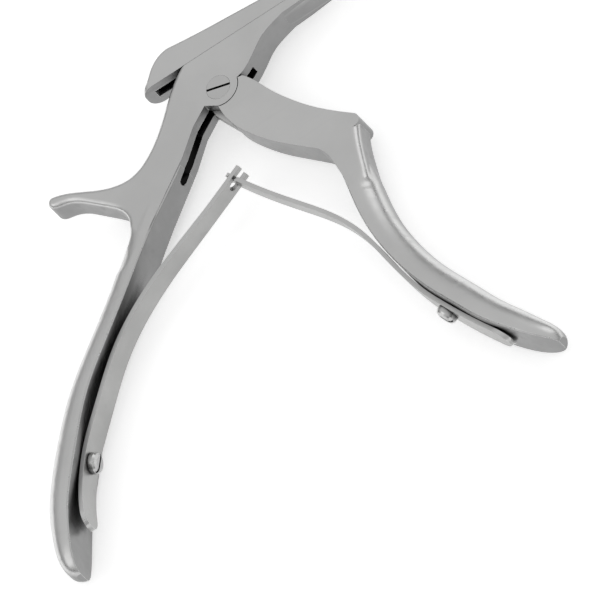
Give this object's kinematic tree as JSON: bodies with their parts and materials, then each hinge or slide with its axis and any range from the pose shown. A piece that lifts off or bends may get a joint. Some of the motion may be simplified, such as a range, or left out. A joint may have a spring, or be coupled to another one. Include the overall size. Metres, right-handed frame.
{
  "type": "bone rongeur",
  "caption": "Pistol-grip bone punch with a sliding upper shaft, a cupped jaw against a footplate and leaf springs that hold the handles open.",
  "frame": {"origin": "centre of the bounding box in X and Y, at its lowest point in Z", "axes": "the instrument lies on its side: +X along the shaft towards the jaw, +Y across the shaft towards the sliding upper shaft so that the handles point to -Y, +Z through the thickness towards the head of the pivot screw"},
  "size_m": [0.2527, 0.1123, 0.0115],
  "materials": {
    "satin_steel": "satin flats with polished rounded edges",
    "screw_steel": "fine turned",
    "spring_steel": "satin, ground along its length"
  },
  "bodies": {
    "fixed_frame": {"fixed_shaft_and_rear_handle": "satin_steel", "pivot_screw": "screw_steel", "rear_spring_screw": "screw_steel"},
    "squeeze_handle": {"front_handle": "satin_steel", "front_spring_screw": "screw_steel"},
    "slider": {"sliding_shaft": "satin_steel", "drive_pin": "screw_steel"},
    "rear_leaf": {"rear_leaf_spring": "spring_steel"},
    "front_leaf": {"front_leaf_spring": "spring_steel"}
  },
  "joints": [
    {"name": "handle_pivot", "type": "hinge", "parent": "fixed_frame", "child": "squeeze_handle", "pos_m": [-0.0566, 0.0407, 0.00575], "axis": [0, 0, -1], "range_deg": [0, 24], "stiffness_Nm_per_rad": 1.2, "springref_deg": -20.05},
    {"name": "shaft_slide", "type": "slide", "parent": "fixed_frame", "child": "slider", "axis": [1, 0, 0], "range_m": [0, 0.00494]},
    {"name": "rear_leaf_bend", "type": "hinge", "parent": "fixed_frame", "child": "rear_leaf", "pos_m": [-0.1006, -0.0017, 0.00575], "axis": [0, 0, 1], "range_deg": [0, 6.3], "deforming": ["rear_leaf_spring"]},
    {"name": "front_leaf_bend", "type": "hinge", "parent": "squeeze_handle", "child": "front_leaf", "pos_m": [-0.041, -0.0168, 0.00575], "axis": [0, 0, -1], "range_deg": [0, 6.2], "deforming": ["front_leaf_spring"]}
  ],
  "couplings": [
    {"joint": "shaft_slide", "follows": "handle_pivot", "m_per_rad": 0.011773},
    {"joint": "rear_leaf_bend", "follows": "handle_pivot", "ratio": 0.262},
    {"joint": "front_leaf_bend", "follows": "handle_pivot", "ratio": 0.258}
  ]
}
